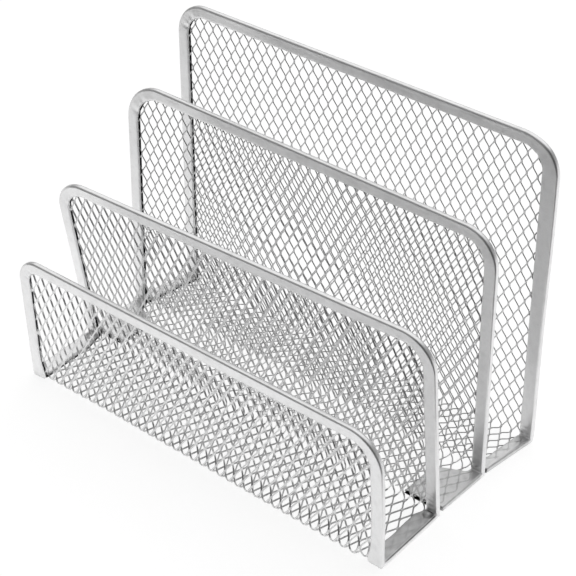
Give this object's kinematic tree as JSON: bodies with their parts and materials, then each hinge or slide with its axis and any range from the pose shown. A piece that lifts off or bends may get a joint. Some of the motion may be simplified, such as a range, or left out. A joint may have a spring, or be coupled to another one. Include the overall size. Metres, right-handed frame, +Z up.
{
  "type": "desktop file sorter",
  "caption": "Stepped desktop file sorter of bent expanded-metal mesh sheets bound in folded steel rims, holding envelopes and papers upright in compartments.",
  "frame": {"origin": "on the desk, at the centre of the footprint", "axes": "+Z up, +X along the panels, +Y from the low front panel to the tall back panel"},
  "size_m": [0.175, 0.0954, 0.1295],
  "materials": {
    "silver_mesh": "satin silver paint on steel mesh",
    "silver_rim": "satin silver paint on folded steel strip",
    "weld": "painted-over spot weld"
  },
  "bodies": {
    "root": {"trough_mesh": "silver_mesh", "trough_rim": "silver_rim", "middle_mesh": "silver_mesh", "middle_rim": "silver_rim", "back_mesh": "silver_mesh", "back_rim": "silver_rim", "divider_welds": "weld", "back_welds": "weld"}
  },
  "joints": []
}
